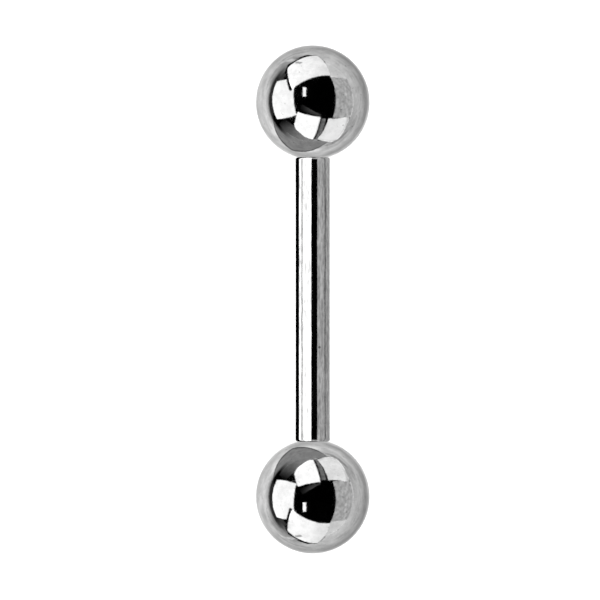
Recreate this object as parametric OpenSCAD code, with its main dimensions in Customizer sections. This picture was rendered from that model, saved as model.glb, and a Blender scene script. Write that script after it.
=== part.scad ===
// Straight barbell for a body piercing: a round bar with a screw-in ball at each end.
// Millimetres. It lies on a surface at Z = 0 with its bar along Y, and the origin is under the bar's middle.

/* [Bar] */
// Diameter of the bar, its gauge
bar_d = 1.2; // [1.2:0.1:1.6]
// Length of the bar, measured between the two balls
bar_l = 10; // [6:1:20]
// Radius of the rounded edge at each end of the bar
bar_edge_r = 0.08; // [0.04:0.01:0.1]

/* [Balls] */
// Diameter of each ball
ball_d = 4; // [3:0.5:6]
// Gap between the bar's end and the flat on the ball that it seats on
seat_gap = 0.01; // [0.005:0.005:0.02]
// Angle round the bar at which each ball comes to its stop as it is screwed home
ball_turn = 4; // [0:0.5:8]

/* [Thread] */
// Outer diameter of the thread on each ball's post
thread_d = 0.88; // [0.7:0.01:0.9]
// Distance from one thread ridge to the next
thread_pitch = 0.225; // [0.2:0.025:0.3]
// Number of ridges on each post
thread_ridges = 7; // [4:1:8]
// Clearance all round between the post and the hole in the bar
thread_clearance = 0.015; // [0.01:0.005:0.03]

/* [Hidden] */
$fn = 96;

bar_r = bar_d / 2;
ball_r = ball_d / 2;
// The axis lies one ball radius above the surface that both balls stand on.
axis_z = ball_r;

// The flat on the ball is as wide as the flat of the bar's end inside its rounded edge.
seat_r = bar_r - bar_edge_r;
// Height of the ball's centre over its flat.
seat_h = sqrt(pow(ball_r, 2) - pow(seat_r, 2));

// A 60 degree thread: the ridge's flank rises over part of the pitch, between a flat crest and a flat root.
thread_r = thread_d / 2;
thread_depth = 0.613 * thread_pitch;
root_r = thread_r - thread_depth;
crest_w = thread_pitch / 8;
root_w = thread_pitch / 4;
flank_w = (thread_pitch - crest_w - root_w) / 2;
// The plain neck between the ball's flat and the first ridge.
neck_l = 0.16;
post_l = neck_l + thread_ridges * thread_pitch;
// The post starts inside the ball, so that the two are one solid.
post_root_l = 0.3;

hole_r = thread_r + thread_clearance;
// The drilled hole goes on past the post's tip, and ends in the drill's 118 degree point.
hole_spare = 0.3;
hole_l = post_l + hole_spare;
drill_point_l = hole_r / tan(59);
hole_chamfer = 0.02;
// Cutters reach this far past the faces that they open.
past = 0.1;

// The outline of the post from its root to its tip, as radius and height above the ball's flat.
function ridge(z) = [
    [root_r, z + root_w / 2],
    [thread_r, z + root_w / 2 + flank_w],
    [thread_r, z + root_w / 2 + flank_w + crest_w],
    [root_r, z + thread_pitch - root_w / 2]
];
post_outline = concat(
    [[0, -post_root_l], [root_r, -post_root_l]],
    [for (i = [0 : thread_ridges - 1]) each ridge(neck_l + i * thread_pitch)],
    [[0, post_l - root_w / 2]]
);

// Puts a shape made round Z onto the barbell's axis, with its +Z towards +Y.
module on_axis() {
    translate([0, 0, axis_z]) rotate([-90, 0, 0]) children();
}

// One half of the bar's outline, with the outer edge rounded at its end.
module bar_half_outline() {
    difference() {
        square([bar_r, bar_l / 2]);
        translate([bar_r - bar_edge_r, bar_l / 2 - bar_edge_r]) difference() {
            square(bar_edge_r + past);
            circle(bar_edge_r);
        }
    }
}

// The hole for a ball's post, cut down from the bar's end at height z.
module tapped_hole(z) {
    translate([0, 0, z - hole_l]) cylinder(r = hole_r, h = hole_l + past);
    translate([0, 0, z - hole_l - drill_point_l])
        cylinder(r1 = 0, r2 = hole_r, h = drill_point_l);
    translate([0, 0, z - hole_chamfer])
        cylinder(r1 = hole_r, r2 = hole_r + hole_chamfer + past, h = hole_chamfer + past);
}

module bar() {
    color([0.75, 0.75, 0.74]) on_axis() difference() {
        rotate_extrude() union() {
            bar_half_outline();
            mirror([0, 1]) bar_half_outline();
        }
        for (end = [0, 1]) mirror([0, 0, end]) tapped_hole(bar_l / 2);
    }
}

// A ball with its flat facing -Z and its post standing out of the flat, the flat being at height 0.
module ball_with_post() {
    difference() {
        translate([0, 0, seat_h]) sphere(ball_r);
        translate([0, 0, -ball_r]) cylinder(r = ball_r, h = ball_r);
    }
    mirror([0, 0, 1]) rotate_extrude() polygon(post_outline);
}

module placed_ball() {
    color([0.78, 0.78, 0.77]) on_axis()
        translate([0, 0, bar_l / 2 + seat_gap]) rotate(-ball_turn) ball_with_post();
}

module ball_back() {
    placed_ball();
}

module ball_front() {
    mirror([0, 1, 0]) placed_ball();
}

bar();
ball_front();
ball_back();
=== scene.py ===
from collections import namedtuple
from math import cos, pi, radians, sin, sqrt, tan

import bmesh
import bpy
from bpy.props import FloatProperty, FloatVectorProperty, IntProperty, PointerProperty
from mathutils import Matrix, Vector


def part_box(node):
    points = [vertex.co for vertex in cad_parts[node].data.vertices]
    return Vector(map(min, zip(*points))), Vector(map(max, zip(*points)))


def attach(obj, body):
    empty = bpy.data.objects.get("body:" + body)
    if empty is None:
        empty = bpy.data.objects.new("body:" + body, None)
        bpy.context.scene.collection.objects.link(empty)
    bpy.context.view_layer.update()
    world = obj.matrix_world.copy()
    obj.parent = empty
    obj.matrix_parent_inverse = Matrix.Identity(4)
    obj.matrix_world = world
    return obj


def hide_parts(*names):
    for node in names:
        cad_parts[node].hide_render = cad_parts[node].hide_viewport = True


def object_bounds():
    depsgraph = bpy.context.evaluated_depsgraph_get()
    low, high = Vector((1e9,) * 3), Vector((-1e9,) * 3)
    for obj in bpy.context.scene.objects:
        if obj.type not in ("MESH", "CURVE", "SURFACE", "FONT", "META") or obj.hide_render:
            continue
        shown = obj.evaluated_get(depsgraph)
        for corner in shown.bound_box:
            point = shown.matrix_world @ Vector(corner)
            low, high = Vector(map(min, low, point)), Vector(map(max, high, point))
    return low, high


bl_info = {
    "name": "Straight Barbell",
    "version": (1, 0, 0),
    "blender": (4, 5, 0),
    "location": "View3D > Sidebar > Barbell",
    "description": "A steel barbell for a piercing, with a screw-in ball at each end, in a light tent",
    "category": "Add Mesh",
}

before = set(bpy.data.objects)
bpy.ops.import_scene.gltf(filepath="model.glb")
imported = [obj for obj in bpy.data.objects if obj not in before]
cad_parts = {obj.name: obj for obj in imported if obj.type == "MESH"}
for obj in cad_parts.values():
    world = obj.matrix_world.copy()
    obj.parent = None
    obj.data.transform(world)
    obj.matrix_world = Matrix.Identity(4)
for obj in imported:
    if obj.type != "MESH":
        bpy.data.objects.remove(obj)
CAD_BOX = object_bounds()
BAR_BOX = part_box("bar")

MM = 0.001
# The photo's frame, and the barbell's length and middle in it, in its own pixels.
FRAME_PX = 600
OBJECT_LENGTH_PX = 508.0
OBJECT_MIDDLE_PX = (312.7, 299.4)
SENSOR_MM = 36
# The bar's middle, on the line through both balls.
MIDDLE = (BAR_BOX[0] + BAR_BOX[1]) / 2
# Which way each ball lies from the bar's middle, along Y.
BALL_SIDES = {"ball_back": 1, "ball_front": -1}

# A 60 degree thread, in shares of its pitch: the flank's depth, and the flats on the crest and at the root.
THREAD_DEPTH = 0.613
THREAD_CREST = 1 / 8
THREAD_ROOT = 1 / 4
# The radii of the post's neck and of its tip, as shares of the thread's radius at the root.
NECK_SHARE = 0.97
TIP_SHARE = 0.96
# The tapped hole: the depth of its grooves, how far in from the bar's end they start, the room between them
# and the mouth, and the chamfer round the mouth.
GROOVE_DEPTH = 0.02 * MM
MOUTH_DEPTH = 0.03 * MM
MOUTH_ROOM = 0.004 * MM
MOUTH_CHAMFER = 0.02 * MM
# The radius of the hole past its thread, as a share of that at the thread, and half the drill's point angle.
DRILL_SHARE = 0.985
DRILL_HALF_ANGLE = radians(59)
# Number of faces across the bar's rounded edge.
EDGE_STEPS = 8
# Two faces that meet at more than this angle keep a sharp edge.
SHARP_OVER = radians(35)
# Verts that are nearer than this are one, and those nearer than the second to a cut are on it, in metres.
SAME_PLACE = 1e-8
ON_CUT = 1e-9

# How much the marks darken the steel, roughen it and stand out of it where they are strongest.
BALL_HAZE_DARK = 0.16
BALL_SPECKS_DARK = 0.3
BALL_HAZE_ROUGH = 0.05
BALL_HAZE_HEIGHT = 0.0006 * MM
BAR_LINES_DARK = 0.3
BAR_GRAIN_DARK = 0.28
BAR_HAZE_DARK = 0.06
BAR_LINES_ROUGH = 0.05
BAR_LINES_HEIGHT = 0.0004 * MM
# Where each mark begins and where it is strongest, in the noise that it is made from.
HAZE_RANGE = (0.35, 0.68)
SPECKS_RANGE = (0.66, 0.78)
LINES_RANGE = (0.3, 0.7)
CLOUDS_RANGE = (0.3, 0.7)
# The one pit in the bar: its place on the surface and its radius, the shares of the radius where it begins
# and where it is full, how much the painted shade in it darkens the steel, and its depth against the lines'
# height.
PIT_PLACE_MM = (0.235, -1.68, 2.552)
PIT_RADIUS_MM = 0.05
PIT_EDGE = (1.3, 0.7)
PIT_PAINTED_SHADE = 0.8
PIT_DEPTH = 8


class BarbellSizes(bpy.types.PropertyGroup):
    """Sizes of the bar, the balls and the thread that joins them"""

    bar_diameter: FloatProperty(
        name="Bar Diameter",
        description="Diameter of the bar, its gauge",
        default=1.2 * MM,
        unit="LENGTH",
    )
    bar_edge: FloatProperty(
        name="Bar Edge",
        description="Radius of the rounded edge at each end of the bar",
        default=0.08 * MM,
        unit="LENGTH",
    )
    bar_steps: IntProperty(
        name="Bar Steps",
        description="Number of faces round the bar and round the thread's hole",
        default=256,
        min=24,
    )
    ball_diameter: FloatProperty(
        name="Ball Diameter",
        description="Diameter of each ball",
        default=4 * MM,
        unit="LENGTH",
    )
    ball_steps: IntProperty(
        name="Ball Steps",
        description="Number of faces round each ball",
        default=256,
        min=24,
    )
    seat_gap: FloatProperty(
        name="Seat Gap",
        description="Gap between the bar's end and the flat on the ball",
        default=0.01 * MM,
        unit="LENGTH",
    )
    thread_diameter: FloatProperty(
        name="Thread Diameter",
        description="Outer diameter of the thread on each ball's post",
        default=0.88 * MM,
        unit="LENGTH",
    )
    thread_pitch: FloatProperty(
        name="Thread Pitch",
        description="How far the thread climbs in one turn",
        default=0.225 * MM,
        unit="LENGTH",
    )
    thread_turns: IntProperty(
        name="Thread Turns",
        description="Number of turns of thread on each post",
        default=7,
        min=2,
    )
    thread_steps: IntProperty(
        name="Thread Steps",
        description="Number of faces in one turn of the thread",
        default=72,
        min=12,
    )
    neck_length: FloatProperty(
        name="Neck Length",
        description="Plain length of the post between the ball's flat and its thread",
        default=0.16 * MM,
        unit="LENGTH",
    )
    clearance: FloatProperty(
        name="Thread Clearance",
        description="Room all round between the post and the bar's hole",
        default=0.015 * MM,
        unit="LENGTH",
    )
    hole_spare: FloatProperty(
        name="Spare Hole Depth",
        description="Depth of the drilled hole past the post's tip",
        default=0.3 * MM,
        unit="LENGTH",
    )


class BarbellFinish(bpy.types.PropertyGroup):
    """Colours and polish of the steel"""

    ball_colour: FloatVectorProperty(
        name="Ball Colour",
        description="Colour of the mirror-polished balls",
        default=(0.72, 0.72, 0.72),
        subtype="COLOR",
        min=0,
        max=1,
    )
    bar_colour: FloatVectorProperty(
        name="Bar Colour",
        description="Colour of the drawn and polished bar",
        default=(0.68, 0.68, 0.68),
        subtype="COLOR",
        min=0,
        max=1,
    )
    ball_roughness: FloatProperty(
        name="Ball Roughness",
        description="Roughness of the balls where the polish is best",
        default=0.03,
        subtype="FACTOR",
        min=0,
        max=1,
    )
    bar_roughness: FloatProperty(
        name="Bar Roughness",
        description="Roughness of the bar where the polish is best",
        default=0.05,
        subtype="FACTOR",
        min=0,
        max=1,
    )


class BarbellStage(bpy.types.PropertyGroup):
    """The floor, the light and the camera"""

    floor_colour: FloatVectorProperty(
        name="Floor Colour",
        description="Colour of the pale floor",
        default=(0.9, 0.9, 0.9),
        subtype="COLOR",
        min=0,
        max=1,
    )
    daylight: FloatProperty(
        name="Daylight",
        description="Brightness of the even light on the floor",
        default=2.0,
        min=0,
    )
    lens: FloatProperty(
        name="Lens",
        description="Focal length of the camera's lens, in millimetres",
        default=300,
        subtype="DISTANCE_CAMERA",
        min=50,
    )


# Solids


def sizes():
    """The sizes that the sidebar shows."""
    return bpy.context.scene.barbell_sizes


def bar_end():
    """Half of the bar's length."""
    return (BAR_BOX[1].y - BAR_BOX[0].y) / 2


def seat_radius():
    """The flat on the ball is as wide as the bar's end inside its rounded edge."""
    return sizes().bar_diameter / 2 - sizes().bar_edge


def ball_centre_distance():
    """How far each ball's centre is from the bar's middle."""
    ball_r = sizes().ball_diameter / 2
    return bar_end() + sizes().seat_gap + sqrt(ball_r**2 - seat_radius() ** 2)


def ball_foot(side):
    """The place on the floor that a ball stands on."""
    return Vector((MIDDLE.x, MIDDLE.y + side * ball_centre_distance(), CAD_BOX[0].z))


def add_ring(bm, radius, y, steps):
    """A round loop of edges about the bar's line, in a mesh that is made round Y."""
    turn = Matrix.Translation((0, y, 0)) @ Matrix.Rotation(pi / 2, 4, "X")
    made = bmesh.ops.create_circle(bm, segments=steps, radius=radius, matrix=turn)
    verts = set(made["verts"])
    return [edge for edge in bm.edges if verts.issuperset(edge.verts)]


def add_helix(bm, ridge, pitch, turns, steps):
    """A thread surface round Y, made by winding one ridge's outline of (radius, y) points."""
    verts = [bm.verts.new((radius, y, 0)) for radius, y in ridge]
    edges = [bm.edges.new(pair) for pair in zip(verts, verts[1:])]
    bmesh.ops.spin(
        bm,
        geom=verts + edges,
        axis=(0, 1, 0),
        cent=(0, 0, 0),
        dvec=(0, pitch / steps, 0),
        angle=2 * pi * turns,
        steps=steps * turns,
        use_merge=False,
        use_duplicate=False,
    )
    bmesh.ops.remove_doubles(bm, verts=bm.verts, dist=pitch / 1000)


def only(kind, geometry):
    """The parts of some geometry that are of one kind."""
    return [part for part in geometry if isinstance(part, kind)]


def radius_of(vert):
    """How far a vert is from the bar's line, in a mesh that is made round Y."""
    return Vector((vert.co.x, vert.co.z)).length


def cut_at(bm, y, side):
    """Cuts off what lies past y on one side, and returns the edges round the cut."""
    cut = bmesh.ops.bisect_plane(
        bm,
        geom=bm.verts[:] + bm.edges[:] + bm.faces[:],
        dist=ON_CUT,
        plane_co=(0, y, 0),
        plane_no=(0, side, 0),
        clear_outer=True,
    )
    return only(bmesh.types.BMEdge, cut["geom_cut"])


def thread_outline(root_r, crest_r, pitch):
    """One ridge of the thread, from root to root, as (radius, y) points."""
    crest_w = pitch * THREAD_CREST
    root_w = pitch * THREAD_ROOT
    flank_w = (pitch - crest_w - root_w) / 2
    rise = root_w + flank_w
    return [(root_r, 0), (root_r, root_w), (crest_r, rise), (crest_r, rise + crest_w), (root_r, pitch)]


def open_loop_at(bm, y):
    """The edges with one face that lie in the plane at y."""
    return [
        edge
        for edge in bm.edges
        if edge.is_boundary and all(abs(vert.co.y - y) < SAME_PLACE for vert in edge.verts)
    ]


def fill_ledge(bm, ring, y):
    """Closes the flat ledge between a plain ring and the thread that starts inside or outside it."""
    loop = [edge for edge in open_loop_at(bm, y) if edge not in ring]
    bmesh.ops.triangle_fill(bm, edges=loop + ring, normal=(0, 1, 0), use_beauty=True)


def draw_ring_to(bm, edges, radius_scale, move_y):
    """Draws a ring out into a new ring, scaled about the bar's line and moved along it."""
    drawn = bmesh.ops.extrude_edge_only(bm, edges=edges)["geom"]
    verts = only(bmesh.types.BMVert, drawn)
    bmesh.ops.scale(bm, vec=(radius_scale, 1, radius_scale), verts=verts)
    bmesh.ops.translate(bm, vec=(0, move_y, 0), verts=verts)
    return only(bmesh.types.BMEdge, drawn)


def turn_round(bm, verts):
    """Turns verts end for end, which keeps a right-hand thread right-handed."""
    bmesh.ops.rotate(bm, cent=(0, 0, 0), matrix=Matrix.Rotation(pi, 3, "Z"), verts=verts)


def close_up(bm):
    """Joins verts that meet, and points every face outward."""
    bmesh.ops.remove_doubles(bm, verts=bm.verts, dist=SAME_PLACE)
    bmesh.ops.recalc_face_normals(bm, faces=bm.faces)


def smooth(bm):
    """Smooth faces, with a sharp edge wherever two meet at too great an angle."""
    for face in bm.faces:
        face.smooth = True
    for edge in bm.edges:
        edge.smooth = edge.calc_face_angle(0) < SHARP_OVER


def add_object(bm, name, material):
    """An object made from a mesh, which is freed. It doesn't show in the steel's polish."""
    mesh = bpy.data.meshes.new(name)
    bm.to_mesh(mesh)
    bm.free()
    mesh.materials.append(material)
    made = bpy.data.objects.new(name, mesh)
    made.visible_glossy = False
    bpy.context.scene.collection.objects.link(made)
    return made


def finish_piece(bm, name, material):
    """Makes the piece's object from a mesh that is made round Y at the origin."""
    bmesh.ops.translate(bm, vec=MIDDLE, verts=bm.verts)
    close_up(bm)
    smooth(bm)
    return add_object(bm, name, material)


def thread_radii():
    """Crest and root radius of the thread on the post."""
    crest_r = sizes().thread_diameter / 2
    return crest_r, crest_r - THREAD_DEPTH * sizes().thread_pitch


def make_thread(root_r, crest_r, low_y, high_y):
    """A mesh of the thread from one place to another along Y, and the edges of its low end."""
    size = sizes()
    pitch = size.thread_pitch
    ridge = thread_outline(root_r, crest_r, pitch)
    thread = bmesh.new()
    add_helix(thread, ridge, pitch, size.thread_turns + 2, size.thread_steps)
    bmesh.ops.translate(thread, vec=(0, low_y - pitch, 0), verts=thread.verts)
    cut_at(thread, high_y, 1)
    return thread, cut_at(thread, low_y, -1)


def move_into(bm, part):
    """Adds all of one mesh to another, and frees the first."""
    carrier = bpy.data.meshes.new("carrier")
    part.to_mesh(carrier)
    part.free()
    bm.from_mesh(carrier)
    bpy.data.meshes.remove(carrier)


def chamfer_tip(bm, tip_y, root_r):
    """Turns the thread's first ridges down to a cone, as a screw's tip is."""
    for vert in bm.verts:
        radius = radius_of(vert)
        allowed = root_r * TIP_SHARE + (vert.co.y - tip_y)
        if radius > allowed:
            vert.co.x *= allowed / radius
            vert.co.z *= allowed / radius


def add_post(bm, flat_y):
    """The threaded post, which stands out of the ball's flat towards -Y."""
    size = sizes()
    crest_r, root_r = thread_radii()
    neck_y = flat_y - size.neck_length
    tip_y = neck_y - size.thread_turns * size.thread_pitch
    thread, tip = make_thread(root_r, crest_r, tip_y, neck_y)
    chamfer_tip(thread, tip_y, root_r)
    bmesh.ops.triangle_fill(thread, edges=tip, use_beauty=True)
    move_into(bm, thread)


def make_ball_mesh():
    """A ball with its flat and post towards -Y, for the back end of the bar."""
    size = sizes()
    ball_r = size.ball_diameter / 2
    flat_y = bar_end() + size.seat_gap
    bm = bmesh.new()
    bmesh.ops.create_uvsphere(
        bm,
        u_segments=size.ball_steps,
        v_segments=size.ball_steps // 2,
        radius=ball_r,
        matrix=Matrix.Translation((0, ball_centre_distance(), 0)) @ Matrix.Rotation(pi / 2, 4, "X"),
    )
    rim = cut_at(bm, flat_y, -1)
    neck_r = thread_radii()[1] * NECK_SHARE
    inner = draw_ring_to(bm, rim, neck_r / seat_radius(), 0)
    neck = draw_ring_to(bm, inner, 1, -size.neck_length)
    add_post(bm, flat_y)
    fill_ledge(bm, neck, flat_y - size.neck_length)
    return bm


def make_ball(name, material):
    """The object of one ball, turned round for the front end of the bar."""
    bm = make_ball_mesh()
    if BALL_SIDES[name] < 0:
        turn_round(bm, bm.verts)
    return finish_piece(bm, name, material)


def add_tapped_hole(bm):
    """The threaded hole in the bar's back end, from its mouth to the drill's point."""
    size = sizes()
    pitch = size.thread_pitch
    hole_r = thread_radii()[0] + size.clearance
    groove_r = hole_r + GROOVE_DEPTH
    end_y = bar_end()
    thread_y = end_y - MOUTH_DEPTH
    thread_end_y = thread_y - size.thread_turns * pitch
    bottom_y = end_y - size.neck_length - size.thread_turns * pitch - size.hole_spare
    wall = make_thread(hole_r, groove_r, thread_end_y, thread_y)[0]
    move_into(bm, wall)
    mouth_r = groove_r + MOUTH_ROOM
    mouth = add_ring(bm, mouth_r, thread_y, size.bar_steps)
    fill_ledge(bm, mouth, thread_y)
    lip = draw_ring_to(bm, mouth, (mouth_r + MOUTH_CHAMFER) / mouth_r, end_y - thread_y)
    plain_r = hole_r * DRILL_SHARE
    plain = add_ring(bm, plain_r, thread_end_y, size.bar_steps)
    fill_ledge(bm, plain, thread_end_y)
    bottom = draw_ring_to(bm, plain, 1, bottom_y - thread_end_y)
    draw_ring_to(bm, bottom, 0, -plain_r / tan(DRILL_HALF_ANGLE))
    return lip


def make_bar_mesh():
    """Half of the bar with its hole and its rounded edge, and the same turned round for the other half."""
    size = sizes()
    bar_r = size.bar_diameter / 2
    bm = bmesh.new()
    lip = add_tapped_hole(bm)
    lip_r = max(radius_of(vert) for edge in lip for vert in edge.verts)
    rim = draw_ring_to(bm, lip, bar_r / lip_r, 0)
    draw_ring_to(bm, rim, 1, -bar_end())
    bmesh.ops.bevel(
        bm,
        geom=rim,
        offset=size.bar_edge,
        offset_type="OFFSET",
        segments=EDGE_STEPS,
        profile=0.5,
        affect="EDGES",
        material=-1,
    )
    copied = bmesh.ops.duplicate(bm, geom=bm.verts[:] + bm.edges[:] + bm.faces[:])["geom"]
    turn_round(bm, only(bmesh.types.BMVert, copied))
    return bm


# Materials


def new_group(name, inputs, outputs):
    """An empty shader node group with named sockets, and its two end nodes."""
    group = bpy.data.node_groups.new(name, "ShaderNodeTree")
    for socket, kind, default in inputs:
        made = group.interface.new_socket(name=socket, in_out="INPUT", socket_type=kind)
        if default is not None:
            made.default_value = default
    for socket, kind in outputs:
        group.interface.new_socket(name=socket, in_out="OUTPUT", socket_type=kind)
    start = group.nodes.new("NodeGroupInput")
    start.location = (-800, 0)
    end = group.nodes.new("NodeGroupOutput")
    end.location = (800, 0)
    return group, start, end


def add_node(tree, kind, place, **settings):
    """A node of a kind at a place in the editor, with its settings."""
    node = tree.nodes.new(kind)
    node.location = place
    for name, value in settings.items():
        setattr(node, name, value)
    return node


def give(tree, socket, value):
    """Joins a node's input to another node's output, or sets it to a number, a vector or a colour."""
    if isinstance(value, bpy.types.NodeSocket):
        tree.links.new(value, socket)
    else:
        socket.default_value = value


def feed(tree, node, values):
    """Gives a node's first inputs their values in turn."""
    for socket, value in zip(node.inputs, values):
        give(tree, socket, value)


def set_inputs(tree, node, **values):
    """Gives a node's inputs their values by name, such as from_min for From Min."""
    for name, value in values.items():
        give(tree, node.inputs[name.replace("_", " ").title()], value)


def add_math(tree, operation, place, *values):
    """The result of a Math node at a place in the editor."""
    node = add_node(tree, "ShaderNodeMath", place, operation=operation)
    feed(tree, node, values)
    return node.outputs[0]


def add_range(tree, place, value, low, high, out_low=0.0, out_high=1.0):
    """A value that changes smoothly from out_low to out_high while another goes from low to high."""
    node = add_node(tree, "ShaderNodeMapRange", place, interpolation_type="SMOOTHSTEP")
    set_inputs(tree, node, value=value, from_min=low, from_max=high, to_min=out_low, to_max=out_high)
    return node.outputs["Result"]


def add_noise(tree, place, **values):
    """Noise from 0 to 1, with its inputs given by name."""
    node = add_node(tree, "ShaderNodeTexNoise", place)
    set_inputs(tree, node, **values)
    return node.outputs["Fac"]


def make_polish_marks_group():
    """Cloudy haze and small specks that polishing leaves on steel."""
    group, start, end = new_group(
        "polish_marks",
        [("Vector", "NodeSocketVector", None), ("Haze Scale", "NodeSocketFloat", 4.0),
         ("Speck Scale", "NodeSocketFloat", 14.0)],
        [("Haze", "NodeSocketFloat"), ("Specks", "NodeSocketFloat")],
    )
    vector = start.outputs["Vector"]
    for label, scale_name, detail, rough, strong, place in (
        ("Haze", "Haze Scale", 6, 0.65, HAZE_RANGE, 200),
        ("Specks", "Speck Scale", 2, 0.5, SPECKS_RANGE, -200),
    ):
        scale = start.outputs[scale_name]
        noise = add_noise(group, (-500, place), vector=vector, scale=scale, detail=detail, roughness=rough)
        group.links.new(add_range(group, (0, place), noise, *strong), end.inputs[label])
    return group


def make_drawn_lines_group():
    """Fine lines that run along Y, as drawing and polishing lengthwise leave them."""
    group, start, end = new_group(
        "drawn_lines",
        [("Vector", "NodeSocketVector", None), ("Scale", "NodeSocketFloat", 12.0)],
        [("Lines", "NodeSocketFloat"), ("Grain", "NodeSocketFloat")],
    )
    for label, stretch, detail, place in (("Lines", 0.05, 5, 200), ("Grain", 0.3, 4, -200)):
        squeeze = add_node(group, "ShaderNodeMapping", (-500, place))
        set_inputs(group, squeeze, vector=start.outputs["Vector"], scale=(1, stretch, 1))
        squeezed = squeeze.outputs["Vector"]
        scale = start.outputs["Scale"]
        noise = add_noise(group, (-250, place), vector=squeezed, scale=scale, detail=detail)
        group.links.new(add_range(group, (50, place), noise, *LINES_RANGE), end.inputs[label])
    return group


def new_material(name):
    """The tree and the shader of a new bare metal, and the place on the object in millimetres."""
    material = bpy.data.materials.new(name)
    material.use_nodes = True
    tree = material.node_tree
    shader = tree.nodes["Principled BSDF"]
    shader.inputs["Metallic"].default_value = 1
    coords = add_node(tree, "ShaderNodeTexCoord", (-1600, 0))
    to_mm = add_node(tree, "ShaderNodeMapping", (-1400, 0))
    set_inputs(tree, to_mm, vector=coords.outputs["Object"], scale=(1 / MM, 1 / MM, 1 / MM))
    return tree, shader, to_mm.outputs["Vector"]


def add_group(tree, group, place, **values):
    """A node group in a material, with its inputs given by name."""
    node = add_node(tree, "ShaderNodeGroup", place, node_tree=group)
    set_inputs(tree, node, **values)
    return node


def paint(tree, shader, colour, darkening):
    """Base Color from the steel's colour, darkened where a mask says."""
    mix = add_node(tree, "ShaderNodeMix", (-300, 300), data_type="RGBA", blend_type="MIX")
    set_inputs(tree, mix, factor=darkening, a=(*colour, 1), b=(0, 0, 0, 1))
    tree.links.new(mix.outputs["Result"], shader.inputs["Base Color"])


def add_relief(tree, shader, height, depth):
    """Fine relief in the steel, of a real depth in metres where height is 1."""
    bump = add_node(tree, "ShaderNodeBump", (-300, -300))
    set_inputs(tree, bump, strength=1, distance=depth, height=height)
    tree.links.new(bump.outputs["Normal"], shader.inputs["Normal"])


def make_ball_steel(marks):
    """Mirror-polished steel with a faint haze and a few specks."""
    finish = bpy.context.scene.barbell_finish
    tree, shader, vector = new_material("polished_steel")
    worn = add_group(tree, marks, (-1100, 0), vector=vector, haze_scale=2.2, speck_scale=9.0)
    haze = worn.outputs["Haze"]
    hazed = add_math(tree, "MULTIPLY", (-800, 300), haze, BALL_HAZE_DARK)
    dark = add_math(tree, "MULTIPLY_ADD", (-600, 300), worn.outputs["Specks"], BALL_SPECKS_DARK, hazed)
    paint(tree, shader, finish.ball_colour, dark)
    rough = add_math(tree, "MULTIPLY_ADD", (-600, 0), haze, BALL_HAZE_ROUGH, finish.ball_roughness)
    tree.links.new(rough, shader.inputs["Roughness"])
    add_relief(tree, shader, haze, BALL_HAZE_HEIGHT)


def pit_mask(tree, vector):
    """1 in the bar's one small pit, and 0 elsewhere."""
    gap = add_node(tree, "ShaderNodeVectorMath", (-1100, 600), operation="DISTANCE")
    feed(tree, gap, (vector, PIT_PLACE_MM))
    edge = [PIT_RADIUS_MM * share for share in PIT_EDGE]
    return add_range(tree, (-850, 600), gap.outputs["Value"], *edge)


def make_bar_steel(marks, lines):
    """Drawn steel, polished along its length, with one small pit, which has painted shade in it."""
    finish = bpy.context.scene.barbell_finish
    tree, shader, vector = new_material("drawn_steel")
    drawn = add_group(tree, lines, (-1100, 200), vector=vector, scale=14.0)
    worn = add_group(tree, marks, (-1100, -100), vector=vector, haze_scale=3.0, speck_scale=12.0)
    line = drawn.outputs["Lines"]
    streaks = add_math(tree, "MULTIPLY", (-850, 300), line, BAR_LINES_DARK)
    grained = add_math(tree, "MULTIPLY_ADD", (-700, 300), drawn.outputs["Grain"], BAR_GRAIN_DARK, streaks)
    hazed = add_math(tree, "MULTIPLY_ADD", (-550, 300), worn.outputs["Haze"], BAR_HAZE_DARK, grained)
    pit = pit_mask(tree, vector)
    # Painted shade in the pit, which darkens the steel's colour there.
    pit_painted_shade = add_math(tree, "MULTIPLY", (-600, 600), pit, PIT_PAINTED_SHADE)
    # The steel darkens by its real marks or by the pit's painted shade, whichever is more.
    dark = add_math(tree, "MAXIMUM", (-450, 500), hazed, pit_painted_shade)
    paint(tree, shader, finish.bar_colour, dark)
    rough = add_math(tree, "MULTIPLY_ADD", (-600, 0), line, BAR_LINES_ROUGH, finish.bar_roughness)
    tree.links.new(rough, shader.inputs["Roughness"])
    height = add_math(tree, "MULTIPLY_ADD", (-600, -300), pit, -PIT_DEPTH, line)
    add_relief(tree, shader, height, BAR_LINES_HEIGHT)


# Light

# A flat lamp that stands far off, by where the middle of a ball or of the bar sees it when the lens is
# overhead. Width and height are for a distance of 1, angles are in degrees, and glow is its brightness.
Panel = namedtuple("Panel", "name bearing elevation width height roll lean swing glow")
# Ways to shade a lamp. Places on it are measured from its middle, as its width and height are.
# Brightness that changes from low to high between two places along its width (X) or height (Y).
Ramp = namedtuple("Ramp", "axis start end low high")
# A black card that hides what is to the left of a line, which runs through (x, y) on a bearing.
Cut = namedtuple("Cut", "x y bearing softness")
# A streak between two places, such as a card that is seen edge on. It is pale where dark is negative.
Line = namedtuple("Line", "x1 y1 x2 y2 width dark")
# Cloudy changes in brightness, by how many there are to a length of 1, and how strong they are.
Clouds = namedtuple("Clouds", "scale strength")
# A black card's corner, by its tip and the bearings of the two sides that run out from it. The card is to
# the left of the first side and to the right of the second.
Corner = namedtuple("Corner", "x y first second softness")
# A streak's light changes between these shares of its width.
LINE_FADE = (0.35, 0.65)

PANEL_DISTANCE = 250 * MM

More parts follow.
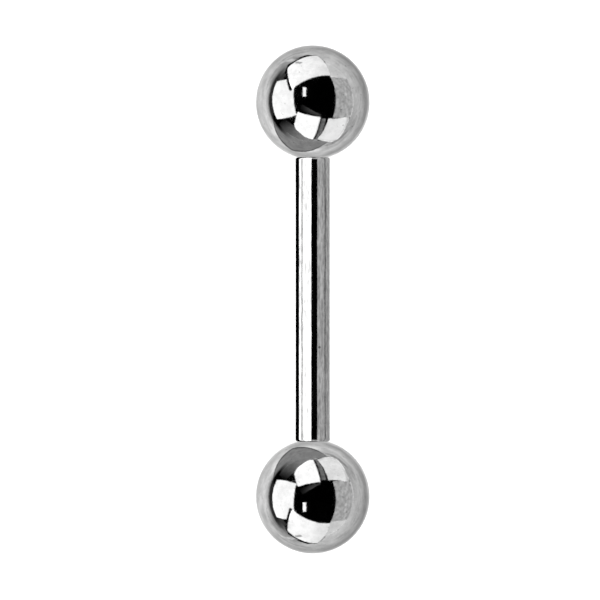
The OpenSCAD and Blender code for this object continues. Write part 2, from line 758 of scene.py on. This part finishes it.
# The lamps round the back ball. Those of the front ball are their mirror image.
BALL_PANELS = [
    Panel("left", 171, 21, 1.0, 1.35, 100, 10, 18, 1.45),
    Panel("upper", 108, 5, 1.33, 1.2, 105, -17, 45, 1.45),
    Panel("lower", -114, 38, 1.02, 0.92, 8, -20, 44, 1.5),
    Panel("lower_right", -55, 6, 0.97, 0.8, -137, 16, -25, 1.12),
    Panel("window", 128, 63, 0.11, 0.33, 143, 14, -8, 1.5),
    Panel("right", 17, 17, 0.79, 1.6, -97, 21, -20, 0.55),
    Panel("upper_right", 68, 15, 1.36, 0.62, -1, 0, 0, 0.86),
    Panel("strip", -78, 21, 1.1, 0.16, -104, 14, -41, 0.2),
    Panel("glow", -90, 68, 0.16, 0.9, -116, 36, 1, 0.07),
    Panel("low_wall", -111, 15, 1.5, 0.46, 1, 0, 0, 0.31),
    Panel("dull_wall", 141, 3, 0.24, 0.14, 0, 0, 0, 0.06),
]
# The lamps on both long sides of the bar, and past its two ends.
BAR_PANELS = [
    Panel("bar_left", 180, 50, 6, 1.17, 0, 0, 0, 2.6),
    Panel("bar_left_seam", 180, 13, 6, 0.25, 0, 0, 0, 1.0),
    Panel("bar_left_low", 180, -5, 6, 0.37, 0, 0, 0, 2.6),
    Panel("bar_right", 0, 29, 6, 1.13, 0, 0, 0, 0.76),
    Panel("bar_right_low", 0, -43, 6, 1.5, 0, 0, 0, 0.6),
    Panel("bar_back", 90, 49, 4, 0.97, 0, 0, 0, 0.7),
    Panel("bar_front", -90, 49, 4, 0.97, 0, 0, 0, 0.7),
    Panel("bar_back_low", 90, -4, 1.3, 1, 0, 0, 0, 0.6),
    Panel("bar_front_low", -90, -4, 1.3, 1, 0, 0, 0, 0.6),
]
# What shades each lamp, by the lamp's name.
SHADES = {
    "left": [
        Ramp("X", 0.5, 0.48, 0, 1),
        Ramp("X", -0.48, -0.46, 0, 1),
        Ramp("Y", 0.655, 0.635, 0, 1),
        Ramp("Y", -0.665, -0.645, 0, 1),
        Line(0.11, 0.69, 0.365, 0.225, 0.115, 1),
    ],
    "upper": [
        Ramp("Y", -0.1, 0.6, 1, 0.82),
        Ramp("Y", -0.585, -0.555, 0, 1),
        Cut(0.588, 0.22, 277, 0.02),
        Corner(-0.6, 0.05, 98, 270, 0.02),
        Line(-0.5, -0.14, -0.16, 0.02, 0.1, 0.6),
        Clouds(3, 0.03),
    ],
    "lower": [
        Ramp("X", 0.49, 0.465, 0, 1),
        Ramp("Y", 0.415, 0.395, 0, 1),
        Ramp("Y", -0.45, -0.43, 0, 1),
        Cut(-0.39, -0.38, 145, 0.02),
        Cut(0.46, -0.39, 217, 0.02),
    ],
    "lower_right": [
        Cut(0.412, 0, 267, 0.02),
        Cut(0.37, 0.28, -45, 0.04),
        Cut(-0.465, 0.26, 79, 0.02),
        Corner(-0.25, 0.32, 0, 144, 0.03),
        Ramp("Y", 0.2, 0.34, 1, 0.65),
        Ramp("X", 0.25, 0.45, 1, 0.65),
        Clouds(3, 0.03),
    ],
    "right": [
        Ramp("X", -0.385, -0.375, 0, 1),
        Corner(-0.17, 0.68, -9, 156, 0.02),
        Cut(0, -0.73, 186, 0.02),
        Line(0.06, 0.18, 0.01, -0.07, 0.08, -0.25),
        Line(-0.135, -0.28, -0.13, -0.27, 0.06, 0.4),
        Clouds(8, 0.25),
    ],
    "upper_right": [
        Cut(0.02, -0.19, -57, 0.04),
        Cut(-0.35, 0.07, 49, 0.03),
        Cut(-0.35, 0.07, 38, 0.03),
        Clouds(4, 0.05),
    ],
    "bar_right": [Ramp("Y", -0.56, 0.3, 0.78, 1)],
    "bar_back": [
        Cut(0, -1.15, 112, 0.02),
        Cut(0, -1.15, 264, 0.02),
    ],
    "bar_front": [
        Cut(0, -1.15, 96, 0.02),
        Cut(0, -1.15, 248, 0.02),
    ],
    "bar_back_low": [Ramp("Y", -0.35, 0.3, 0.2, 1)],
    "bar_front_low": [Ramp("Y", -0.35, 0.3, 0.2, 1)],
    "strip": [
        Ramp("Y", -0.08, -0.035, 0, 1),
        Ramp("Y", 0.08, 0.035, 0, 1),
        Clouds(12, 0.4),
    ],
    "glow": [
        Ramp("X", 0.08, -0.08, 0.3, 1),
        Ramp("Y", -0.45, -0.1, 0.2, 1),
        Cut(0.05, -0.05, 277, 0.03),
    ],
    "low_wall": [
        Cut(-0.24, 0, 70, 1.1),
        Cut(0.51, -0.125, -36, 0.02),
        Line(-0.27, 0.23, -0.16, 0.13, 0.03, 0.5),
        Line(-0.16, 0.13, 0.34, -0.08, 0.03, 0.5),
        Clouds(6, 0.12),
    ],
}

# How far the pale floor under the barbell reaches each way, and how far the lens sees, in metres.
PALE_FLOOR_REACH = 1.5
SIGHT = 10

# The lit floor round each ball, in millimetres from where it stands, with +Y away from the bar.
FLOOR_WIDTH = 8000
# Brightness near the ball on the whole, and how much more there is towards the left and towards the bar.
NEAR_GLOW = 0.8
NEAR_GLOW_LEFT = 0.19
NEAR_GLOW_BARWARDS = 0.06
# A brighter patch on the bar's side of the ball, by how squarely it lies there and how far off it begins.
PATCH_GLOW = 0.2
PATCH_BARWARDS = (-0.3, -1)
PATCH_REACH = (3.5, 6)
# Brightness far off, more towards the back, which fades to a share of itself from one bearing to another.
FAR_GLOW = 0.62
FAR_GLOW_BACK = 0.2
FAR_FADE = (105, 150)
FAR_FADE_SHARE = 0.05
# Where the brightness near the ball goes over into that far off.
NEAR_TO_FAR = (6, 24)
# The ball's own shade on the floor, and the light that gets in under it on the right.
OWN_SHADE = 0.32
OWN_SHADE_RIGHT = 0.08
OWN_SHADE_REACH = (3, 9)
UNDER_GLOW = 0.1
UNDER_REACH = (3.6, 2.9)
# The grey card that lies on the floor towards the bar, how it fades out on the left, and its darker edge.
GREY_CORNER = Corner(-1.7, -4, 194, 297, 0.2)
GREY_GLOW = 0.31
GREY_FADE_BEARINGS = (-145, -115)
GREY_FADE_X = (-25, -8)
GREY_EDGE = (0.25, 0.8)
GREY_EDGE_SHARE = 0.35
# The floor that the cards hide.
LOWER_RIGHT_CORNER = Corner(6.8, -12.2, 287, 328, 0.25)
UPPER_CORNER = Corner(-9.2, 13.9, -28, 133, 0.4)
UPPER_SIDE = Cut(1.1, 10.75, 71, 0.3)
# The hidden floor draws back from the upper card's corner by this much between two bearings.
UPPER_GAP = 1.5
UPPER_GAP_BEARINGS = (97, 91)
# Where a crease in the floor crosses that gap.
UPPER_BREAK = Line(-7.2, 14.2, -5.4, 13.2, 2.4, 0.8)
# A duller patch of floor beyond the ball, round one bearing.
DULL_BEARING = 130
DULL_SPREAD = (35, 15)
DULL_REACH = (4.5, 9)
DULL = 0.42
FLOOR_CLOUDS = Clouds(0.5, 0.16)
# Streaks on the floor: a pale crease and a dull mark past the ball, and a duller band at the lower right.
FLOOR_LINES = [
    Line(-5.6, 4.2, -4, 5.2, 0.4, -0.25),
    Line(-4, 5.2, -4.4, 8, 0.6, -0.3),
    Line(-4.4, 8, -6.2, 13.5, 1.2, -0.6),
    Line(-3.1, 4.7, -1.2, 5.8, 0.7, 0.25),
    Line(4.9, -9.2, 9.2, -7.7, 8, 0.25),
    Line(5.9, -11.1, 8.6, -10.2, 5, 0.3),
]


def lit_by(name, piece_name):
    """A collection of the one piece that some lamps shine on."""
    receivers = bpy.data.collections.new(name)
    receivers.objects.link(bpy.data.objects[piece_name])
    return receivers


def add_light(name, matrix, width, height, glow, receivers):
    """A rectangular light with an even brightness of glow, which only its receivers see."""
    light = bpy.data.lights.new(name, "AREA")
    light.shape = "RECTANGLE"
    light.size = width
    light.size_y = height
    light.energy = glow * pi * width * height
    lamp = bpy.data.objects.new(name, light)
    lamp.matrix_world = matrix
    lamp.visible_camera = False
    lamp.light_linking.receiver_collection = receivers
    bpy.context.scene.collection.objects.link(lamp)
    return lamp


def mirrored(matrix):
    """The matrix of the same rectangle on the other side of the bar's middle."""
    across = Matrix.Translation((0, MIDDLE.y, 0)) @ Matrix.Diagonal((1, -1, 1, 1))
    across = across @ Matrix.Translation((0, -MIDDLE.y, 0))
    return across @ matrix @ Matrix.Diagonal((-1, 1, 1, 1))


def lens_place():
    """Where the lens is: straight over the barbell, with the object as long as it is in the photo."""
    metres_per_px = (CAD_BOX[1].y - CAD_BOX[0].y) / OBJECT_LENGTH_PX
    distance = FRAME_PX * metres_per_px * bpy.context.scene.barbell_stage.lens / SENSOR_MM
    x = MIDDLE.x - (OBJECT_MIDDLE_PX[0] - FRAME_PX / 2) * metres_per_px
    y = MIDDLE.y + (OBJECT_MIDDLE_PX[1] - FRAME_PX / 2) * metres_per_px
    return Vector((x, y, MIDDLE.z + distance))


def panel_matrix(centre, panel):
    """Where a lamp stands, turned with the line from the lens to the centre that sees it."""
    bearing = radians(panel.bearing)
    elevation = radians(panel.elevation)
    away = Vector((cos(bearing) * cos(elevation), sin(bearing) * cos(elevation), sin(elevation)))
    across = Vector((0, 0, 1)).cross(away).normalized()
    up = away.cross(across)
    turn = Matrix((across, up, away)).transposed()
    for angle, axis in ((panel.roll, "Z"), (panel.lean, "X"), (panel.swing, "Y")):
        turn = turn @ Matrix.Rotation(radians(angle), 3, axis)
    overhead = Vector((0, 0, 1)).rotation_difference(lens_place() - centre).to_matrix().to_4x4()
    place = Matrix.Translation(away * PANEL_DISTANCE) @ turn.to_4x4()
    return Matrix.Translation(centre) @ overhead @ place


def add_panels(centre, panels, receivers, prefix, flip):
    """Adds the lamps round a centre, or their mirror image on the other side of the bar's middle."""
    for panel in panels:
        matrix = panel_matrix(centre, panel)
        if flip:
            matrix = mirrored(matrix)
        width = panel.width * PANEL_DISTANCE
        height = panel.height * PANEL_DISTANCE
        lamp = add_light(prefix + panel.name, matrix, width, height, panel.glow, receivers)
        if panel.name in SHADES:
            shade_panel(lamp, panel, flip)


def open_nodes(lamp):
    """A lamp's own node tree."""
    lamp.data.use_nodes = True
    return lamp.data.node_tree


def next_place(tree):
    """A free place for a node, in rows of ten."""
    row, column = divmod(len(tree.nodes), 10)
    return (column * 200 - 2400, 600 - row * 260)


def calc(tree, operation, *values):
    """The result of a Math node at a free place."""
    return add_math(tree, operation, next_place(tree), *values)


def ramp(tree, value, start, end, low=0.0, high=1.0):
    """A smooth change from low to high while a value goes from start to end."""
    return add_range(tree, next_place(tree), value, start, end, low, high)


def calc_vector(tree, operation, *values, output="Vector"):
    """The result of a Vector Math node at a free place."""
    node = add_node(tree, "ShaderNodeVectorMath", next_place(tree), operation=operation)
    feed(tree, node, values)
    return node.outputs[output]


def split(tree, spot):
    """The X and the Y of a spot."""
    parts = add_node(tree, "ShaderNodeSeparateXYZ", next_place(tree))
    tree.links.new(spot, parts.inputs["Vector"])
    return parts.outputs["X"], parts.outputs["Y"]


def distance_along(tree, spot, direction, start):
    """How far a spot is past a start along a direction, times the direction's length."""
    whole = calc_vector(tree, "DOT_PRODUCT", spot, direction, output="Value")
    return calc(tree, "SUBTRACT", whole, direction.dot(start))


def past_line(tree, spot, x, y, bearing):
    """How far a spot is to the left of a line, negative to its right."""
    normal = Vector((-sin(radians(bearing)), cos(radians(bearing)), 0))
    return distance_along(tree, spot, normal, Vector((x, y, 0)))


def inside_corner(tree, spot, corner):
    """How far a spot is inside a corner of a card, negative outside it."""
    first = past_line(tree, spot, corner.x, corner.y, corner.first)
    second = past_line(tree, spot, corner.x, corner.y, corner.second)
    return calc(tree, "MINIMUM", first, calc(tree, "MULTIPLY", second, -1.0))


def line_light(tree, spot, line):
    """Brightness near a streak: 1 away from it, less on a dark one, and more on a pale one."""
    start = Vector((line.x1, line.y1, 0))
    run = Vector((line.x2, line.y2, 0)) - start
    share = distance_along(tree, spot, run / run.length_squared, start)
    clamped = calc(tree, "MINIMUM", calc(tree, "MAXIMUM", share, 0.0), 1.0)
    on_line = calc_vector(tree, "MULTIPLY_ADD", run, clamped, start)
    gap = calc_vector(tree, "DISTANCE", spot, on_line, output="Value")
    fade = [line.width * edge for edge in LINE_FADE]
    return ramp(tree, gap, *fade, 1 - line.dark, 1)


def cloud_light(tree, spot, clouds):
    """Brightness that is cloudy about 1."""
    noise = add_noise(tree, next_place(tree), vector=spot, scale=clouds.scale, detail=4)
    return ramp(tree, noise, *CLOUDS_RANGE, 1 - clouds.strength, 1 + clouds.strength)


def shade_light(tree, spot, shade):
    """The share of a lamp's brightness that one of its shades leaves at a spot."""
    if isinstance(shade, Ramp):
        across, up = split(tree, spot)
        value = across if shade.axis == "X" else up
        return ramp(tree, value, shade.start, shade.end, shade.low, shade.high)
    if isinstance(shade, Cut):
        beyond = past_line(tree, spot, shade.x, shade.y, shade.bearing)
        return ramp(tree, beyond, shade.softness / 2, -shade.softness / 2)
    if isinstance(shade, Corner):
        return ramp(tree, inside_corner(tree, spot, shade), 0, shade.softness, 1, 0)
    if isinstance(shade, Line):
        return line_light(tree, spot, shade)
    return cloud_light(tree, spot, shade)


def shade_panel(lamp, panel, flip):
    """Joins a panel's shades into its brightness. A mirrored panel has its X the other way."""
    tree = open_nodes(lamp)
    face = add_node(tree, "ShaderNodeNewGeometry", next_place(tree))
    width = -panel.width if flip else panel.width
    spot = calc_vector(
        tree,
        "MULTIPLY_ADD",
        face.outputs["Parametric"],
        (width, panel.height, 0),
        (-width / 2, -panel.height / 2, 0),
    )
    brightness = 1.0
    for shade in SHADES[panel.name]:
        brightness = calc(tree, "MULTIPLY", shade_light(tree, spot, shade), brightness)
    tree.links.new(brightness, tree.nodes["Emission"].inputs["Strength"])


def blend(tree, share, first, second):
    """The first value where share is 0, and the second where it is 1."""
    change = calc(tree, "SUBTRACT", second, first)
    return calc(tree, "MULTIPLY_ADD", change, share, first)


def hide(tree, glow, hidden):
    """What is left of a brightness where a share of it is hidden."""
    return calc(tree, "MULTIPLY", glow, calc(tree, "SUBTRACT", 1.0, hidden))


def near_floor(tree, x, y, reach):
    """Brightness of the floor close to a ball, with the ball's own shade."""
    left = calc(tree, "DIVIDE", x, reach)
    back = calc(tree, "DIVIDE", y, reach)
    glow = calc(tree, "MULTIPLY_ADD", left, -NEAR_GLOW_LEFT, NEAR_GLOW)
    glow = calc(tree, "MULTIPLY_ADD", back, -NEAR_GLOW_BARWARDS, glow)
    barwards = ramp(tree, back, *PATCH_BARWARDS)
    patch = calc(tree, "MULTIPLY", barwards, ramp(tree, reach, *PATCH_REACH))
    glow = calc(tree, "MULTIPLY_ADD", patch, PATCH_GLOW, glow)
    strength = calc(tree, "MULTIPLY_ADD", left, OWN_SHADE_RIGHT, OWN_SHADE)
    shade = calc(tree, "MULTIPLY", strength, ramp(tree, reach, *OWN_SHADE_REACH, 1, 0))
    glow = hide(tree, glow, shade)
    under = calc(tree, "MULTIPLY", calc(tree, "ADD", left, 1.0), ramp(tree, reach, *UNDER_REACH))
    return calc(tree, "MULTIPLY_ADD", under, UNDER_GLOW, glow)


def far_floor(tree, y, reach, bearing):
    """Brightness of the floor far off, which fades out on the left."""
    back = calc(tree, "DIVIDE", y, reach)
    glow = calc(tree, "MULTIPLY_ADD", back, FAR_GLOW_BACK, FAR_GLOW)
    fade = ramp(tree, calc(tree, "ABSOLUTE", bearing), *FAR_FADE, 1, FAR_FADE_SHARE)
    return calc(tree, "MULTIPLY", glow, fade)


def grey_card(tree, x, bearing, inside):
    """Brightness of the grey card on the floor, with a darker edge."""
    by_bearing = ramp(tree, bearing, *GREY_FADE_BEARINGS)
    by_place = ramp(tree, x, *GREY_FADE_X)
    glow = calc(tree, "MULTIPLY", calc(tree, "MAXIMUM", by_bearing, by_place), GREY_GLOW)
    return calc(tree, "MULTIPLY", glow, ramp(tree, inside, *GREY_EDGE, GREY_EDGE_SHARE, 1))


def dull_patch(tree, reach, bearing):
    """Brightness that is left in the duller patch, and 1 elsewhere."""
    off = calc(tree, "ABSOLUTE", calc(tree, "SUBTRACT", bearing, DULL_BEARING))
    share = calc(tree, "MULTIPLY", ramp(tree, off, *DULL_SPREAD), ramp(tree, reach, *DULL_REACH))
    return calc(tree, "MULTIPLY_ADD", share, -DULL, 1.0)


def behind_lower_right(tree, spot):
    """The share of the floor's light that the card at the lower right hides."""
    inside = inside_corner(tree, spot, LOWER_RIGHT_CORNER)
    return ramp(tree, inside, 0, LOWER_RIGHT_CORNER.softness)


def behind_upper(tree, spot, bearing):
    """The share of the floor's light that the upper card hides."""
    drawn_back = ramp(tree, bearing, *UPPER_GAP_BEARINGS)
    inside = calc(tree, "MULTIPLY_ADD", drawn_back, -UPPER_GAP, inside_corner(tree, spot, UPPER_CORNER))
    hidden = ramp(tree, inside, 0, UPPER_CORNER.softness)
    beside = past_line(tree, spot, UPPER_SIDE.x, UPPER_SIDE.y, UPPER_SIDE.bearing)
    hidden = calc(tree, "MULTIPLY", hidden, ramp(tree, beside, 0, UPPER_SIDE.softness))
    return calc(tree, "MULTIPLY", hidden, line_light(tree, spot, UPPER_BREAK))


def floor_glow(tree, spot):
    """Brightness of the floor round the back ball, at a spot in millimetres from the ball's foot."""
    x, y = split(tree, spot)
    reach = calc_vector(tree, "LENGTH", spot, output="Value")
    bearing = calc(tree, "DEGREES", calc(tree, "ARCTAN2", y, x))
    far = ramp(tree, reach, *NEAR_TO_FAR)
    glow = blend(tree, far, near_floor(tree, x, y, reach), far_floor(tree, y, reach, bearing))
    inside = inside_corner(tree, spot, GREY_CORNER)
    on_grey = ramp(tree, inside, 0, GREY_CORNER.softness)
    glow = blend(tree, on_grey, glow, grey_card(tree, x, bearing, inside))
    glow = hide(tree, glow, behind_lower_right(tree, spot))
    glow = hide(tree, glow, behind_upper(tree, spot, bearing))
    glow = calc(tree, "MULTIPLY", glow, dull_patch(tree, reach, bearing))
    for line in FLOOR_LINES:
        glow = calc(tree, "MULTIPLY", glow, line_light(tree, spot, line))
    return calc(tree, "MULTIPLY", glow, cloud_light(tree, spot, FLOOR_CLOUDS))


def add_floor_light(side, receivers, prefix):
    """The floor as a ball's polish shows it, lit near the ball and partly hidden by cards further off."""
    foot = ball_foot(side)
    turn = Matrix.Translation(foot) @ Matrix.Rotation(pi, 4, "X")
    lamp = add_light(prefix + "floor", turn, FLOOR_WIDTH * MM, FLOOR_WIDTH * MM, 1, receivers)
    tree = open_nodes(lamp)
    face = add_node(tree, "ShaderNodeNewGeometry", next_place(tree))
    scale = Vector((1, side, 0)) / MM
    spot = calc_vector(tree, "MULTIPLY_ADD", face.outputs["Position"], scale, -foot * scale)
    tree.links.new(floor_glow(tree, spot), tree.nodes["Emission"].inputs["Strength"])


def make_world(daylight):
    """Even light for the floor and a white backdrop. Only the lamps show in the steel."""
    world = bpy.data.worlds.new("tent")
    bpy.context.scene.world = world
    world.use_nodes = True
    tree = world.node_tree
    tree.nodes.clear()
    rays = add_node(tree, "ShaderNodeLightPath", (-600, 0)).outputs
    on_floor = add_math(tree, "MULTIPLY", (-400, 0), rays["Is Diffuse Ray"], daylight)
    strength = add_math(tree, "ADD", (-200, 0), on_floor, rays["Is Camera Ray"])
    sky = add_node(tree, "ShaderNodeBackground", (0, 0))
    set_inputs(tree, sky, strength=strength, color=(1, 1, 1, 1))
    output = add_node(tree, "ShaderNodeOutputWorld", (200, 0))
    tree.links.new(sky.outputs["Background"], output.inputs["Surface"])
    world.cycles.sampling_method = "NONE"


def make_floor(colour):
    """A large pale floor under the barbell."""
    material = bpy.data.materials.new("floor_card")
    material.use_nodes = True
    shader = material.node_tree.nodes["Principled BSDF"]
    shader.inputs["Base Color"].default_value = (*colour, 1)
    shader.inputs["Roughness"].default_value = 0.9
    shader.inputs["Specular IOR Level"].default_value = 0
    bm = bmesh.new()
    level = Matrix.Translation((0, 0, CAD_BOX[0].z))
    bmesh.ops.create_grid(bm, x_segments=1, y_segments=1, size=PALE_FLOOR_REACH, matrix=level)
    floor = add_object(bm, "floor", material)


def make_camera(lens):
    """A long lens straight over the barbell, with +Y up in the picture."""
    camera = bpy.data.cameras.new("camera")
    camera.lens = lens
    camera.sensor_width = SENSOR_MM
    holder = bpy.data.objects.new("camera", camera)
    holder.location = lens_place()
    camera.clip_start = holder.location.z / 10
    camera.clip_end = SIGHT
    bpy.context.scene.collection.objects.link(holder)
    bpy.context.scene.camera = holder


# Operators


class BARBELL_OT_bar(bpy.types.Operator):
    """Makes the bar, with a tapped hole in each end"""

    bl_idname = "barbell.make_bar"
    bl_label = "Make Bar"

    def execute(self, context):
        bar = finish_piece(make_bar_mesh(), "drawn_bar", bpy.data.materials["drawn_steel"])
        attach(bar, "bar")
        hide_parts("bar")
        return {"FINISHED"}


class BARBELL_OT_balls(bpy.types.Operator):
    """Makes the two balls, each with its threaded post"""

    bl_idname = "barbell.make_balls"
    bl_label = "Make Balls"

    def execute(self, context):
        for node in BALL_SIDES:
            ball = make_ball(node, bpy.data.materials["polished_steel"])
            ball.name = "polished_" + node
            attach(ball, node)
            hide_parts(node)
        return {"FINISHED"}


class BARBELL_OT_materials(bpy.types.Operator):
    """Makes the two finishes of the steel"""

    bl_idname = "barbell.make_materials"
    bl_label = "Make Materials"

    def execute(self, context):
        marks = make_polish_marks_group()
        lines = make_drawn_lines_group()
        make_ball_steel(marks)
        make_bar_steel(marks, lines)
        return {"FINISHED"}


class BARBELL_OT_stage(bpy.types.Operator):
    """Sets up the floor, the backdrop, the lamps and the camera"""

    bl_idname = "barbell.make_stage"
    bl_label = "Make Stage"

    def execute(self, context):
        stage = context.scene.barbell_stage
        context.scene.view_settings.view_transform = "Standard"
        make_camera(stage.lens)
        make_floor(stage.floor_colour)
        make_world(stage.daylight)
        back_centre = ball_foot(1) + Vector((0, 0, MIDDLE.z - CAD_BOX[0].z))
        for node, side in BALL_SIDES.items():
            receivers = lit_by("lit_" + node, "polished_" + node)
            add_panels(back_centre, BALL_PANELS, receivers, node + "_", side < 0)
            add_floor_light(side, receivers, node + "_")
        receivers = lit_by("lit_bar", "drawn_bar")
        add_panels(MIDDLE, BAR_PANELS, receivers, "", False)
        return {"FINISHED"}


class BARBELL_PT_panel(bpy.types.Panel):
    """Sizes, finishes and stage of the barbell"""

    bl_idname = "BARBELL_PT_panel"
    bl_label = "Straight Barbell"
    bl_space_type = "VIEW_3D"
    bl_region_type = "UI"
    bl_category = "Barbell"

    def draw(self, context):
        layout = self.layout
        for group_name in GROUPS:
            group = getattr(context.scene, group_name)
            column = layout.column(align=True)
            for name in group.bl_rna.properties.keys():
                if name not in {"rna_type", "name"}:
                    column.prop(group, name)
        for operator in OPERATORS:
            layout.operator(operator.bl_idname)


OPERATORS = (BARBELL_OT_materials, BARBELL_OT_bar, BARBELL_OT_balls, BARBELL_OT_stage)
GROUPS = {
    "barbell_sizes": BarbellSizes,
    "barbell_finish": BarbellFinish,
    "barbell_stage": BarbellStage,
}


def register():
    for name, group in GROUPS.items():
        bpy.utils.register_class(group)
        setattr(bpy.types.Scene, name, PointerProperty(type=group))
    for item in (*OPERATORS, BARBELL_PT_panel):
        bpy.utils.register_class(item)


def unregister():
    for item in (BARBELL_PT_panel, *reversed(OPERATORS)):
        bpy.utils.unregister_class(item)
    for name, group in GROUPS.items():
        delattr(bpy.types.Scene, name)
        bpy.utils.unregister_class(group)


def main():
    """Makes the barbell and its stage."""
    register()
    bpy.ops.barbell.make_materials()
    bpy.ops.barbell.make_bar()
    bpy.ops.barbell.make_balls()
    bpy.ops.barbell.make_stage()


if __name__ == "__main__":
    main()
